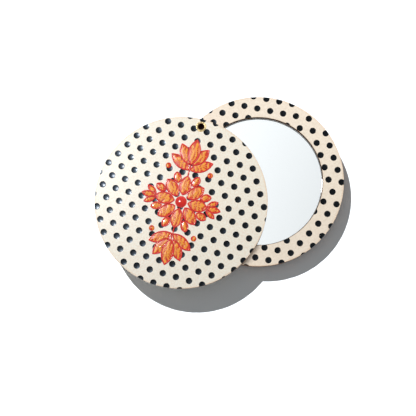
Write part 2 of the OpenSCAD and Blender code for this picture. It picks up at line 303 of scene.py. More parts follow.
def slab(flat, faces, top, floor):
    """Points and faces of a closed solid over flat triangles, between the heights from floor and top."""
    used, faces = np.unique(faces, return_inverse=True)
    faces = faces.reshape(-1, 3)
    flat = flat[used]
    count = len(flat)
    points = np.concatenate([np.column_stack([flat, top(flat)]), np.column_stack([flat, floor(flat)])])
    upper = faces.tolist()
    edges = {(a, b) for face in upper for a, b in zip(face, face[1:] + face[:1])}
    walls = [(a, a + count, b + count, b) for a, b in sorted(edges) if (b, a) not in edges]
    lower = (faces[:, ::-1] + count).tolist()
    return points, upper + lower + walls


def level(height):
    """Gives every point the same height."""
    return lambda points: np.full(len(points), height)


def joined(parts):
    """Several sets of points and faces as one."""
    points, faces = [], []
    first = 0
    for part_points, part_faces in parts:
        points.append(part_points)
        faces.extend(tuple(i + first for i in face) for face in part_faces)
        first += len(part_points)
    return np.concatenate(points), faces


def revolved(profile, centre, count, closed):
    """Turns a profile of radii and heights round an upright axis. It runs counter-clockwise, with +Z up."""
    points, rings = [], []
    for radius, height in profile:
        ring = circle(centre, radius, count) if radius > 0 else np.array([centre])
        rings.append(range(len(points), len(points) + len(ring)))
        points.extend((x, y, height) for x, y in ring)
    faces = []
    for a, b in zip(rings, rings[1:] + (rings[:1] if closed else [])):
        for i in range(count):
            j = (i + 1) % count
            if len(a) == 1:
                faces.append((a[0], b[j], b[i]))
            elif len(b) == 1:
                faces.append((a[i], a[j], b[0]))
            else:
                faces.append((a[i], a[j], b[j], b[i]))
    return np.array(points), faces


# Shares of an edge's rounding at which its points lie. The last two keep the flat beside it flat.
EASE_SHARES = (0, 0.08, 0.3, 0.6, 1, 1.3, 1.6)


class Plate:
    """The outline of a round plate: its radius, and its holes as pairs of a centre and a radius."""

    def __init__(self, radius, holes, ease):
        self.radius = radius
        self.holes = holes
        self.ease = ease

    def loops(self):
        """Circles along every edge, close enough together to draw its rounding."""
        found = []
        for share in EASE_SHARES:
            found.append(circle(ORIGIN, self.radius - share * self.ease, RIM_POINTS))
            for centre, radius in self.holes:
                count = OPENING_POINTS if radius > self.radius / 2 else HOLE_POINTS
                found.append(circle(centre, radius + share * self.ease, count))
        return found

    def inside(self, points):
        """Distance of flat points from the nearest edge, below zero outside the plate."""
        found = self.radius - distance(points, ORIGIN)
        for centre, radius in self.holes:
            found = np.minimum(found, distance(points, centre) - radius)
        return found

    def drop(self, points):
        """How far the rounding of the edges lowers the face at flat points."""
        short = np.clip(self.ease - self.inside(points), 0, self.ease)
        return self.ease - np.sqrt(self.ease ** 2 - short ** 2)

    def solid(self, bottom, top):
        """The plate between two heights, eased along its upper and lower edges."""
        flat, faces = triangles(self.loops(), [])
        faces = faces[self.inside(flat[faces].mean(axis=1)) > 0]
        return slab(flat, faces, lambda p: top - self.drop(p), lambda p: bottom + self.drop(p))


def add_piece(name, solid, material, body, slot, *nodes):
    """Makes a mesh piece, gives it its material and lets it ride on its body in place of CAD nodes."""
    points, faces = solid
    mesh = bpy.data.meshes.new(name)
    mesh.from_pydata([tuple(p) for p in points], [], faces)
    mesh.validate()
    if body == COVER:
        mesh.transform(SWUNG)
    mesh.polygons.foreach_set("use_smooth", [True] * len(mesh.polygons))
    mesh.set_sharp_from_angle(angle=SHARP_ANGLE)
    mesh.materials.append(material)
    piece = bpy.data.objects.new(name, mesh)
    bpy.context.scene.collection.objects.link(piece)
    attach(piece, body)
    if nodes:
        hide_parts(*nodes)
    return piece


def dress_node(node, material):
    """Gives a CAD node its material."""
    obj = frame["nodes"][node]
    obj.data.materials.clear()
    obj.data.materials.append(material)


def connect(sockets, values):
    """Gives each socket its value or its link."""
    for socket, value in zip(sockets, values):
        if isinstance(value, bpy.types.NodeSocket):
            socket.id_data.links.new(value, socket)
        else:
            socket.default_value = value


def named(node, inputs):
    """A node's input sockets by name, with _ for a space."""
    return [node.inputs[name.replace("_", " ")] for name in inputs]


def add(tree, kind, *inputs, output=None, **more):
    """Adds a shader node and returns its output of that name, or its first one.

    Inputs come in order, or by their capitalised names, and settings by their names in small letters.
    """
    node = tree.nodes.new("ShaderNode" + kind)
    for name in [n for n in more if n[0].islower()]:
        setattr(node, name, more.pop(name))
    connect([socket for socket in node.inputs if socket.enabled], inputs)
    connect(named(node, more), more.values())
    return node.outputs[output] if output else next(socket for socket in node.outputs if socket.enabled)


class Finish:
    """A material, its nodes and the coordinates of the closed mirror, in metres."""

    def __init__(self, name, colour=(1, 1, 1, 1), body=MIRROR_HALF, **values):
        self.material = bpy.data.materials.new(name)
        self.material.use_nodes = True
        self.tree = self.material.node_tree
        self.shader = self.tree.nodes["Principled BSDF"]
        self.set(Base_Color=colour, **values)
        self.where = self.add("TexCoord", output="Object")
        if body == COVER:
            self.where = self.add("VectorRotate", self.where, PIVOT, -OPEN_ANGLE, rotation_type="Z_AXIS")

    def add(self, kind, *inputs, **more):
        """Adds a node to this material."""
        return add(self.tree, kind, *inputs, **more)

    def set(self, **inputs):
        """Gives the shader's inputs values or links, and returns the material."""
        connect(named(self.shader, inputs), inputs.values())
        return self.material

    def flecks(self, size_mm, start=0.35, end=0.65, detail=2, where=None):
        """Soft random flecks about size_mm apart: zero where the noise is under start, one over end."""
        noise = self.add("TexNoise", where or self.where, Scale=spacing(size_mm), Detail=detail)
        return self.add("MapRange", noise, start, end)

    def from_axis(self, axis=(0, 0, 0)):
        """Distance from an upright axis, which is the closed mirror's own where none is given."""
        off = self.add("VectorMath", self.where, axis, operation="SUBTRACT")
        flat = self.add("VectorMath", off, (1, 1, 0), operation="MULTIPLY")
        return self.add("VectorMath", flat, operation="LENGTH")

    def wall_share(self):
        """One on upright walls, zero on flat faces."""
        normal = self.add("NewGeometry", output="True Normal")
        upright = self.add("Math", self.add("SeparateXYZ", normal, output="Z"), operation="ABSOLUTE")
        return self.add("MapRange", upright, *WALL_TILTS)

    def laser_tinted(self, ground, opening_r, colours):
        """The colour of paper that a laser cut: a peach line along its face's edges, and toasted walls."""
        radius = self.from_axis()
        outer = self.add("MapRange", radius, DISC_R - RIM_SCORCH, DISC_R, 0, 0.5)
        inner = self.add("MapRange", radius, opening_r + OPENING_SCORCH, opening_r, 0, 0.3)
        heat = self.add("Math", outer, inner, operation="MAXIMUM")
        face = self.add("Mix", heat, ground, colours.scorch, data_type="RGBA")
        return self.add("Mix", self.wall_share(), face, colours.cut_edge, data_type="RGBA")


def spacing(size_mm):
    """The scale of a pattern whose features lie this many millimetres apart."""
    return 1 / (size_mm * MM)


# Upward parts of a face's direction at which it begins to count as a wall, and is one
WALL_TILTS = (0.85, 0.45)
# Widths of the peach line that the laser leaves along the rim and along the opening
RIM_SCORCH = 0.9 * MM
OPENING_SCORCH = 0.5 * MM
# The opening's radius for a sheet that has none, which nothing comes near
NO_OPENING = -DISC_R
# Widths of the silver coat's uneven edge and of the ring in the eyelet's mouth over which the brass turns dark
# brown
SILVER_EDGE = 1.2 * MM
MOUTH_EDGE = 0.2 * MM


def laminated_print(cream, opening_r, colours, body):
    """Printed paper under a semi-gloss laminate, pressed on a board and cut by laser.

    The film has a fine orange peel, so that a lamp's light spreads into a broad glow. The cream below is
    slightly flecked. The flecks and the peel are drawn coarser than the real ones, so that they show.
    """
    finish = Finish("gloss_laminated_print", body=body, Roughness=0.5, Specular_IOR_Level=0, Coat_Weight=1.0,
                    Coat_Roughness=0.33, Coat_IOR=1.6)
    flecks = finish.flecks(0.7, 0.35, 0.7, 3)
    ground = finish.add("Mix", flecks, cream, colours.cream_fleck, data_type="RGBA")
    peel = finish.flecks(1.2, 0.3, 0.7)
    return finish.set(Base_Color=finish.laser_tinted(ground, opening_r, colours),
                      Normal=finish.add("Bump", Height=peel, Distance=0.012 * MM),
                      Coat_Normal=finish.add("Bump", Height=peel, Distance=0.006 * MM))


def dot_enamel(colours, body):
    """Blue-black enamel ink, screen-printed thick and dried to a dish under a thin clear skin.

    The ink gives a soft grey-blue haze towards the light, and the skin over it one small bright spot. It is a
    little duller where it has been handled.
    """
    finish = Finish("dished_blue_black_enamel", colours.dots, body, Specular_IOR_Level=0.46,
                    Specular_Tint=colours.dot_haze, Coat_Weight=0.4, Coat_Roughness=0.1, Coat_IOR=1.3)
    return finish.set(Roughness=finish.add("MapRange", finish.flecks(2.6), 0, 1, 0.25, 0.31),
                      Coat_Normal=finish.add("Bump", Height=finish.flecks(0.6), Distance=0.003 * MM))


def fibreboard(colours, body):
    """Medium-density fibreboard, cut by laser.

    The cut wall is toasted brown, with upright drag lines from the beam and patches of darker char. The
    flat face is pale brown and felted. Both are drawn coarser than the real ones, so that they show.
    """
    finish = Finish("laser_cut_fibreboard", body=body, Roughness=0.62, IOR=1.5)
    x, y, z = finish.add("SeparateXYZ", finish.where).node.outputs
    arc = finish.add("Math", finish.add("Math", y, x, operation="ARCTAN2"), DISC_R, operation="MULTIPLY")
    # Coordinates along the wall and up it, drawn out upwards about eight times
    wall = finish.add("CombineXYZ", arc, 0, finish.add("Math", z, 0.12, operation="MULTIPLY"))
    streaks = finish.flecks(0.3, 0.35, 0.72, 3, wall)
    char = finish.add("Math", streaks, finish.flecks(2.4, where=wall), operation="MULTIPLY")
    cut = finish.add("Mix", char, colours.board_cut, colours.board_char_and_edge_shade, data_type="RGBA")
    fibres = finish.flecks(0.4, 0.3, 0.7, 4)
    felt = finish.add("Mix", fibres, colours.board, colours.board_cut, data_type="RGBA")
    return finish.set(Base_Color=finish.add("Mix", finish.wall_share(), felt, cut, data_type="RGBA"),
                      Normal=finish.add("Bump", Height=streaks, Distance=0.03 * MM))


def plain_lining(colours, body):
    """Plain paper under a satin laminate, as on the rear of a printed board.

    Smooth, with a soft broad sheen. Its fibres are drawn coarser than real ones, so that they show.
    """
    finish = Finish("satin_laminated_paper", body=body, Roughness=0.38, IOR=1.48)
    fibres = finish.flecks(0.8, 0.35, 0.75, 3)
    ground = finish.add("Mix", fibres, colours.lining, colours.cream_fleck, data_type="RGBA")
    return finish.set(Base_Color=finish.laser_tinted(ground, NO_OPENING, colours),
                      Normal=finish.add("Bump", Height=fibres, Distance=0.006 * MM))


def float_glass(colours):
    """Float glass, cut round and finely bevelled. Clear, with the faint tint of thin float glass."""
    return Finish("float_glass", colours.glass, Roughness=0.0, IOR=1.52, Transmission_Weight=1.0).material


def ground_edge_painted_shade(colours):
    """The glass's edge, ground on a belt and left matt. Its grey-brown, flecked with char-dark patches, is painted
    shade of the narrow gap round the glass, a dark line as seen through the glass.
    """
    finish = Finish("ground_glass_edge_painted_shade", Roughness=0.8, IOR=1.5)
    # Painted shade: the ground edge is darkened further in char-dark flecks
    patched = finish.add("Mix", finish.flecks(0.5), colours.ground, colours.board_char_and_edge_shade, data_type="RGBA")
    return finish.set(Base_Color=patched)


def silver_coat(colours):
    """Chemically deposited silver behind the glass. A true mirror, a touch uneven near its edge."""
    finish = Finish("deposited_silver", colours.silver, Metallic=1.0)
    worn = finish.add("MapRange", finish.from_axis(), GLASS_R - SILVER_EDGE, GLASS_R, 0, 0.06)
    return finish.set(Roughness=worn)


def backing_paint(colours):
    """Sprayed backing paint that seals the silver. Matt, with a spray grain drawn coarser than a real one."""
    finish = Finish("mirror_backing_paint", Roughness=0.7, IOR=1.5)
    grain = finish.flecks(0.4, 0.3, 0.7, 3)
    grained = finish.add("Mix", grain, colours.backing, colours.backing_grain, data_type="RGBA")
    return finish.set(Base_Color=grained, Normal=finish.add("Bump", Height=grain, Distance=0.01 * MM))


def adhesive_foam(colours):
    """Die-cut foam tape. Closed cells give it a soft pitted surface."""
    finish = Finish("adhesive_foam", Roughness=0.85, IOR=1.45)
    cells = finish.add("TexVoronoi", finish.where, Scale=spacing(0.3))
    pitted = finish.add("Mix", cells, colours.adhesive, colours.cream_fleck, data_type="RGBA")
    return finish.set(Base_Color=pitted, Normal=finish.add("Bump", Height=cells, Distance=0.03 * MM))


def rolled_brass(colours):
    """Pressed brass strip, drawn to a tube, rolled over and left bright.

    Warm pale gold with soft dents and fine scuffs from the setting tool, a little browner in patches, and
    dark brown inside the tube.
    """
    finish = Finish("rolled_brass", Metallic=1.0)
    patches = finish.add("MapRange", finish.flecks(1.1, 0.45, 0.85), 0, 1, 0, 0.25)
    inside = finish.add("MapRange", finish.from_axis(PIVOT), BORE_R + MOUTH_EDGE, BORE_R)
    dull = finish.add("Math", patches, inside, operation="MAXIMUM")
    scuffs = finish.add("MapRange", finish.flecks(0.15, 0.3, 0.8, 3), 0, 1, 0.26, 0.4)
    return finish.set(Base_Color=finish.add("Mix", dull, colours.brass, colours.tarnish, data_type="RGBA"),
                      Normal=finish.add("Bump", Height=finish.flecks(0.5), Distance=0.008 * MM),
                      Roughness=scuffs)


def nylon_sheet(colours):
    """Die-cut nylon sheet. Milky, with a satin skin."""
    finish = Finish("nylon_sheet", colours.nylon, Roughness=0.4, IOR=1.53, Subsurface_Weight=0.3,
                    Subsurface_Scale=0.4 * MM)
    return finish.set(Normal=finish.add("Bump", Height=finish.flecks(0.5), Distance=0.006 * MM))


def piped_enamel(name, colour, thin_colour, size_mm):
    """Soft enamel, piped on as a raised line and left glossy. Where it lies thin, another colour shows."""
    finish = Finish(name, body=COVER, Roughness=0.22, IOR=1.5, Coat_Weight=0.5, Coat_Roughness=0.08,
                    Coat_IOR=1.5)
    thin = finish.add("MapRange", finish.flecks(size_mm, 0.48, 0.75, 3), 0, 1, 0, 0.6)
    return finish.set(Base_Color=finish.add("Mix", thin, colour, thin_colour, data_type="RGBA"),
                      Normal=finish.add("Bump", Height=finish.flecks(0.7), Distance=0.015 * MM))


def field_enamel(colours):
    """Orange enamel with yellow filigree floated into it, over flame-red pools.

    The filigree is drawn coarser than real filigree, so that it shows.
    """
    finish = Finish("orange_filigree_enamel", body=COVER, Roughness=0.26, IOR=1.5, Coat_Weight=0.6,
                    Coat_Roughness=0.1, Coat_IOR=1.5)
    threads = finish.add("TexWave", finish.where, Scale=spacing(6.0), Distortion=9.0, Detail=1.0,
                         Detail_Scale=1.4)
    filigree = finish.add("MapRange", threads, 0.48, 0.75)
    pools = finish.flecks(1.3, 0.4, 0.62, 3)
    ground = finish.add("Mix", pools, colours.orange, colours.flame, data_type="RGBA")
    return finish.set(Base_Color=finish.add("Mix", filigree, ground, colours.yellow, data_type="RGBA"),
                      Normal=finish.add("Bump", Height=filigree, Distance=0.03 * MM))


def print_places(at, turn, slip, opening_r, sizes):
    """Centres of the dots of a staggered print that show between the opening and the rim."""
    rows = math.ceil(DISC_R / sizes.row_pitch) + 1
    columns = math.ceil(2 * DISC_R / sizes.dot_pitch)
    dot_r = sizes.dot_diameter / 2
    found = []
    for row in range(-rows, rows + 1):
        shift = slip * row
        start = shift - sizes.dot_pitch * math.floor(shift / sizes.dot_pitch + 0.5)
        for column in range(-columns, columns + 1):
            x, y = turned((start + column * sizes.dot_pitch, -row * sizes.row_pitch), turn)
            place = (at[0] + x, at[1] + y)
            reach = math.hypot(*place)
            if opening_r - dot_r + sizes.least_dot < reach < DISC_R + dot_r - sizes.least_dot:
                found.append(place)
    return found


def turned(point, by):
    """A flat point turned about the origin."""
    x, y = point
    return (x * math.cos(by) - y * math.sin(by), x * math.sin(by) + y * math.cos(by))


# Shares of a dot's radius at which its dish is drawn
DISH_SHARES = (0.2, 0.4, 0.6, 0.75, 0.88, 0.96)
# Triangles whose middles lie within this share of a dot's radius belong to the dot
DOT_SHARE = 0.999


def dotted_face(plate, dots, bottom, top, sizes):
    """A dotted face as two solids: the sheet with round holes, and the dished dots that fill them."""
    dot_r = sizes.dot_diameter / 2
    rims = [circle(dot, dot_r, DOT_POINTS) for dot in dots]
    dishes = [circle(dot, share * dot_r, DISH_POINTS if share < 0.5 else DOT_POINTS)
              for dot in dots for share in DISH_SHARES]
    flat, faces = triangles(plate.loops() + rims, dishes + [np.array(dots)])
    middles = flat[faces].mean(axis=1)
    on_plate = plate.inside(middles) > 0

    def from_dot(points):
        """Distance of flat points from the nearest dot's centre."""
        return np.min([distance(points, dot) for dot in dots], axis=0)

    in_dot = from_dot(middles) < dot_r * DOT_SHARE
    dish_radius = (dot_r ** 2 + sizes.dish_depth ** 2) / (2 * sizes.dish_depth)

    def dished(points):
        """Height of the dots' dished tops."""
        across = np.minimum(from_dot(points), dot_r)
        sunk = np.sqrt(dish_radius ** 2 - across ** 2) - (dish_radius - sizes.dish_depth)
        return top - plate.drop(points) - sunk

    sheet = slab(flat, faces[on_plate & ~in_dot], lambda p: top - plate.drop(p), level(bottom))
    fill = slab(flat, faces[on_plate & in_dot], dished, level(top - sizes.pocket_depth))
    return sheet, fill


# A petal or leaf bounded by two arcs: its root, the direction of its tip, its length and its width
Blade = namedtuple("Blade", "root turn length width")

# Where on a petal's length the small leaves between the petals start
SEPAL_ROOT_SHARE = 0.6
# Size of a bud's side petals to its middle one
SIDE_PETAL_SHARE = 0.86
# Place of a berry on the length of the leaf beside it
BERRY_PLACE = 0.86
# Size of the side buds to the upright ones
SIDE_BUD_SHARE = 0.56
# Width of a berry to that of a leaf
BERRY_SHARE = 0.5
# The arms of the ornament that point up and down in the part's own axes, and those to its sides
UPRIGHT_ARMS = (math.pi / 2, 3 * math.pi / 2)
SIDE_ARMS = (0, math.pi)


def arm_blade(arm, root, turn, blade_length, width):
    """A blade on one arm of the ornament."""
    return Blade(turned(root, arm), arm + turn, blade_length, width)


def bud_blades(arm, root, blade_length, width, sizes):
    """A bud: two side petals, and a middle one that lies over them."""
    lower = [arm_blade(arm, (root, side * sizes.outline_w), side * sizes.bud_fan,
                       blade_length * SIDE_PETAL_SHARE, width * SIDE_PETAL_SHARE) for side in (-1, 1)]
    return lower + [arm_blade(arm, (root, 0), 0, blade_length, width)]


def ornament_blades(sizes):
    """Every blade of the ornament, the lower ones first, and the centres and radius of its berries."""
    petal_root = sizes.bead_d / 2 + sizes.bead_gap
    rosette_r = petal_root + sizes.petal_l
    leaf_root = rosette_r + sizes.stem_l / 2
    sepal_root = petal_root + sizes.petal_l * SEPAL_ROOT_SHARE
    step = 2 * math.pi / sizes.petals
    places = range(sizes.petals)
    leaves = [arm_blade(arm, (leaf_root, 0), side * sizes.leaf_fan, sizes.leaf_l, sizes.leaf_w)
              for arm in UPRIGHT_ARMS for side in (-1, 1)]
    buds = [b for arm in UPRIGHT_ARMS
            for b in bud_blades(arm, rosette_r + sizes.stem_l, sizes.bud_l, sizes.bud_w, sizes)]
    side_buds = [b for arm in SIDE_ARMS
                 for b in bud_blades(arm, rosette_r - sizes.outline_w, sizes.bud_l * SIDE_BUD_SHARE,
                                     sizes.bud_w * SIDE_BUD_SHARE, sizes)]
    sepals = [arm_blade((i + 1 / 2) * step, (sepal_root, 0), 0, sizes.sepal_l, sizes.sepal_w) for i in places]
    petals = [arm_blade(i * step, (petal_root, 0), 0, sizes.petal_l, sizes.petal_w) for i in places]
    berries = [turned((leaf_root, side * sizes.leaf_l * BERRY_PLACE), arm)
               for arm in UPRIGHT_ARMS for side in (-1, 1)]
    return leaves + buds + side_buds + sepals + petals, berries, sizes.leaf_w * BERRY_SHARE / 2


def arc_radius(blade):
    """Radius of the two arcs that bound a blade."""
    return (blade.length ** 2 + blade.width ** 2) / (4 * blade.width)


def along_and_across(points, blade):
    """Flat points as distances from a blade's middle, along it and across it."""
    x = points[:, 0] - blade.root[0]
    y = points[:, 1] - blade.root[1]
    along = x * math.cos(blade.turn) + y * math.sin(blade.turn) - blade.length / 2
    return along, y * math.cos(blade.turn) - x * math.sin(blade.turn)


def inside_blade(points, blade):
    """Distance of flat points inside a blade's edge, below zero outside it."""
    along, across = along_and_across(points, blade)
    radius = arc_radius(blade)
    return radius - np.hypot(along, np.abs(across) + radius - blade.width / 2)


# Distance between points on the outline of a blade and on that of a rib, and the fewest steps along one arc
OUTLINE_STEP = 0.3 * MM
RIB_STEP = 0.2 * MM
LEAST_STEPS = 6


def blade_loop(blade, inset, step):
    """The outline of a blade drawn in by inset, with points about step apart."""
    radius = arc_radius(blade)
    offset = radius - blade.width / 2
    half = math.sqrt((radius - inset) ** 2 - offset ** 2)
    count = max(LEAST_STEPS, math.ceil(2 * half / step))
    along = -half * np.cos(np.arange(count + 1) * math.pi / count)
    across = np.sqrt(np.maximum((radius - inset) ** 2 - along ** 2, 0)) - offset
    lower = np.column_stack([along, -across])
    upper = np.column_stack([along[-2:0:-1], across[-2:0:-1]])
    local = np.concatenate([lower, upper]) + [blade.length / 2, 0]
    cos, sin = math.cos(blade.turn), math.sin(blade.turn)
    return np.column_stack([local[:, 0] * cos - local[:, 1] * sin + blade.root[0],
                            local[:, 0] * sin + local[:, 1] * cos + blade.root[1]])


def blade_middle(blade):
    """The flat middle of a blade."""
    x, y = turned((blade.length / 2, 0), blade.turn)
    return np.array([blade.root[0] + x, blade.root[1] + y])


def covering(blades, i):
    """The blades that lie over blade i, where they can reach it."""
    return [b for b in blades[i + 1:]
            if np.linalg.norm(blade_middle(b) - blade_middle(blades[i])) < (b.length + blades[i].length) / 2]


# Shares of a cord's width at which its round back is drawn
CORD_SHARES = (0, 0.04, 0.14, 0.3, 0.5, 0.7, 0.86, 0.96)
# Height of a cord's foot on its outer side, as a share of the field's height
FOOT_SHARE = 0.35
# Insets of the field's rows of points beyond the cord, and the last inset of all, as shares of a blade's
# width
FIELD_SHARES = (0.015, 0.04, 0.08, 0.13, 0.19, 0.26, 0.32)
LAST_INSET = 0.49
# Insets of the lines that draw a rib, as shares of its width
RIB_SHARES = (0, 0.12, 0.3)
# Shares of a berry's field at which its rows of points lie
BERRY_ROWS = (0.85, 0.6, 0.3)
# Length of a blade's middle vein, to half its field's length
VEIN_SHARE = 1.7
# Share of the vein that carries side ribs, and the share before the first
RIBBED_SHARE = 0.72
BARE_SHARE = 0.08
# Share of the way to the cord that a side rib reaches, and the least reach
RIB_REACH = 0.92
LEAST_REACH = 0.25 * MM
# How far a stem starts inside the rosette's reach
STEM_OVERLAP = 0.1 * MM


def cord_height(inside, width, sizes):
    """Height of a cord's round back at distances inside its outer edge."""
    share = np.clip(inside / width, 0, 1)
    foot = sizes.fill_h * (FOOT_SHARE + (1 - FOOT_SHARE) * share)
    return foot + (sizes.outline_h - foot) * np.sqrt(np.maximum(1 - (2 * share - 1) ** 2, 0))


def field_height(share, crown, sizes):
    """Height of an enamel field that crowns towards its middle, at shares of the way in from its cord."""
    return sizes.fill_h + crown * np.sin(np.clip(share, 0, 1) * math.pi / 2)


def raised(flat, faces, ground, rise):
    """A solid that stands on the ground over flat triangles, as high as rise says."""
    return slab(flat, faces, lambda points: ground + rise(points), level(ground))


def on_vein(blade, along):
    """A flat point on a blade's middle line."""
    return tuple(np.add(blade.root, turned((along, 0), blade.turn)))


def blade_ribs(blade, sizes):
    """The raised veins of a blade: one along its middle and pairs of side ribs."""
    middle = blade.length / 2
    vein_l = VEIN_SHARE * (middle - sizes.outline_w * blade.length / blade.width)
    start = middle - vein_l / 2
    ribs = [Blade(on_vein(blade, start), blade.turn, vein_l, sizes.vein_w)]
    pairs = max(2, math.floor(vein_l * RIBBED_SHARE / sizes.rib_pitch))
    for k in range(pairs):
        at = start + vein_l * BARE_SHARE + k * vein_l * RIBBED_SHARE / pairs
        reach = blade.width / 2 * (1 - ((at + sizes.rib_pitch - middle) / middle) ** 2) - sizes.outline_w
        rib_l = max(reach, LEAST_REACH) * RIB_REACH / math.sin(sizes.rib_angle)
        ribs.extend(Blade(on_vein(blade, at), blade.turn + side * sizes.rib_angle, rib_l, sizes.rib_w)
                    for side in (-1, 1))
    return ribs


def blade_solids(blades, i, ground, sizes):
    """Cord, field and veins of one blade, cut back where other blades lie over it."""
    blade = blades[i]
    over = covering(blades, i)
    ribs = blade_ribs(blade, sizes)
    loops = [blade_loop(blade, share * sizes.outline_w, OUTLINE_STEP) for share in (*CORD_SHARES, 1)]
    loops += [blade_loop(b, -sizes.blade_gap, OUTLINE_STEP) for b in over]
    loops += [blade_loop(b, share * b.width, RIB_STEP) for b in ribs for share in RIB_SHARES]
    insets = [sizes.outline_w + share * blade.width for share in FIELD_SHARES]
    rows = [blade_loop(blade, inset, OUTLINE_STEP) for inset in insets if inset < blade.width * LAST_INSET]
    flat, faces = triangles(loops, rows)
    middles = flat[faces].mean(axis=1)
    inside = inside_blade(middles, blade)
    shown = inside > 0
    for b in over:
        shown &= inside_blade(middles, b) < -sizes.blade_gap
    in_cord = inside < sizes.outline_w
    in_rib = np.max([inside_blade(middles, b) for b in ribs], axis=0) > 0

    def cord(points):
        return cord_height(inside_blade(points, blade), sizes.outline_w, sizes)

    def field(points):
        depth = blade.width / 2 - sizes.outline_w
        return field_height((inside_blade(points, blade) - sizes.outline_w) / depth, sizes.crown, sizes)

    def veined(points):
        rise = 0
        for b in ribs:
            share = np.clip(inside_blade(points, b) / (b.width / 2), 0, 1)
            rise = np.maximum(rise, np.sqrt(1 - (1 - share) ** 2) * sizes.vein_h * b.width / sizes.vein_w)
        return field(points) + rise

    return (raised(flat, faces[shown & in_cord], ground, cord),
            raised(flat, faces[shown & ~in_cord & ~in_rib], ground, field),
            raised(flat, faces[shown & ~in_cord & in_rib], ground, veined))


def berry_solids(centre, radius, ground, sizes):
    """Cord and field of one berry."""
    width = sizes.outline_w / 2
    field_r = radius - width
    loops = [circle(centre, radius - share * width, DOT_POINTS) for share in (*CORD_SHARES, 1)]
    rows = [circle(centre, field_r * share, DISH_POINTS) for share in BERRY_ROWS] + [np.array([centre])]
    flat, faces = triangles(loops, rows)
    in_cord = radius - distance(flat[faces].mean(axis=1), centre) < width

    def cord(points):
        return cord_height(radius - distance(points, centre), width, sizes)

    def field(points):
        return field_height(1 - distance(points, centre) / field_r, 2 * sizes.crown, sizes)

    return raised(flat, faces[in_cord], ground, cord), raised(flat, faces[~in_cord], ground, field)


def stem_solid(arm, blades, ground, sizes):
    """The cord between the rosette and an upright bud."""
    start = sizes.bead_d / 2 + sizes.bead_gap + sizes.petal_l - STEM_OVERLAP
    stem_l = sizes.stem_l + STEM_OVERLAP
    stem = Blade(turned((start, 0), arm), arm, stem_l, sizes.outline_w)
    half = stem.width / 2
    near = [b for b in blades
            if np.linalg.norm(blade_middle(b) - blade_middle(stem)) < (b.length + sizes.stem_l) / 2]
    loops = []
    for share in CORD_SHARES[:4]:
        y = half * (1 - share)
        corners = ((start, -y), (start + stem_l, -y), (start + stem_l, y), (start, y))
        loops.append(np.array([turned(corner, arm) for corner in corners]))
    flat, faces = triangles(loops + [blade_loop(b, -sizes.blade_gap, OUTLINE_STEP) for b in near], [])
    middles = flat[faces].mean(axis=1)
    along, across = along_and_across(middles, stem)
    shown = (np.abs(along) < stem_l / 2) & (np.abs(across) < half)
    for b in near:
        shown &= inside_blade(middles, b) < -sizes.blade_gap

    def cord(points):
        return cord_height(half - np.abs(along_and_across(points, stem)[1]), sizes.outline_w, sizes)

    return raised(flat, faces[shown], ground, cord)


def pivot_hole(sizes, clearance):
    """A plate's hole for the eyelet."""
    return PIVOT_PLACE, BORE_R + sizes.eyelet_wall + clearance


def add_plate(node, body, holes, material, slot, sizes):
    """Makes a plain round plate with holes in place of its CAD node."""
    solid = Plate(DISC_R, holes, sizes.board_ease).solid(low(node).z, high(node).z)
    add_piece(node + "_cut", solid, material, body, slot, node)


def add_face(half, body, holes, dots, opening_r, scene):
    """Makes the sheet and the dots of a half's dotted face in place of their CAD nodes."""
    sizes = scene.mirror_sizes
    colours = scene.mirror_colours
    cream = colours.ring_cream if half == "ring" else colours.cover_cream
    node = half + "_sheet"
    sheet, fill = dotted_face(Plate(DISC_R, holes, sizes.face_ease), dots, low(node).z, high(node).z, sizes)
    add_piece(half + "_print", sheet, laminated_print(cream, opening_r, colours, body), body,
              "lacquered_sheet", node)
    add_piece(half + "_enamel_dots", fill, dot_enamel(colours, body), body, "black_enamel", half + "_dots")


class MIRROR_OT_boards(bpy.types.Operator):
    """Make the three laser-cut boards"""
    bl_idname = "pocket_mirror.boards"
    bl_label = "Boards"

    def execute(self, context):
        sizes = context.scene.mirror_sizes
        fixed, swinging = (fibreboard(context.scene.mirror_colours, body) for body in (MIRROR_HALF, COVER))
        opening = (ORIGIN, GLASS_R + sizes.opening_gap)
        seat = pivot_hole(sizes, sizes.seat_clearance)
        running = pivot_hole(sizes, sizes.running_clearance)
        add_plate("base_board", MIRROR_HALF, [seat], fixed, "laser_cut_board", sizes)
        add_plate("ring_board", MIRROR_HALF, [opening, seat], fixed, "laser_cut_board", sizes)
        add_plate("cover_board", COVER, [running], swinging, "laser_cut_board", sizes)
        return {"FINISHED"}


class MIRROR_OT_linings(bpy.types.Operator):
    """Make the plain sheets on the rear and under the cover"""
    bl_idname = "pocket_mirror.linings"
    bl_label = "Linings"

    def execute(self, context):
        sizes = context.scene.mirror_sizes
        colours = context.scene.mirror_colours
        counterbore = (PIVOT_PLACE, TAIL_WASHER_R + sizes.counterbore_gap)
        running = pivot_hole(sizes, sizes.running_clearance)
        add_plate("back_sheet", MIRROR_HALF, [counterbore], plain_lining(colours, MIRROR_HALF), "plain_sheet",
                  sizes)
        add_plate("cover_lining", COVER, [running], plain_lining(colours, COVER), "plain_sheet", sizes)
        return {"FINISHED"}


class MIRROR_OT_ring_face(bpy.types.Operator):
    """Make the dotted face of the ring"""
    bl_idname = "pocket_mirror.ring_face"
    bl_label = "Ring Face"

    def execute(self, context):
        sizes = context.scene.mirror_sizes
        opening_r = GLASS_R + sizes.opening_gap
        holes = [(ORIGIN, opening_r), pivot_hole(sizes, sizes.seat_clearance)]
        dots = print_places((sizes.ring_print_x, sizes.ring_print_y), sizes.ring_print_turn,
                            sizes.ring_row_slip, opening_r, sizes)
        add_face("ring", MIRROR_HALF, holes, dots, opening_r, context.scene)
        return {"FINISHED"}


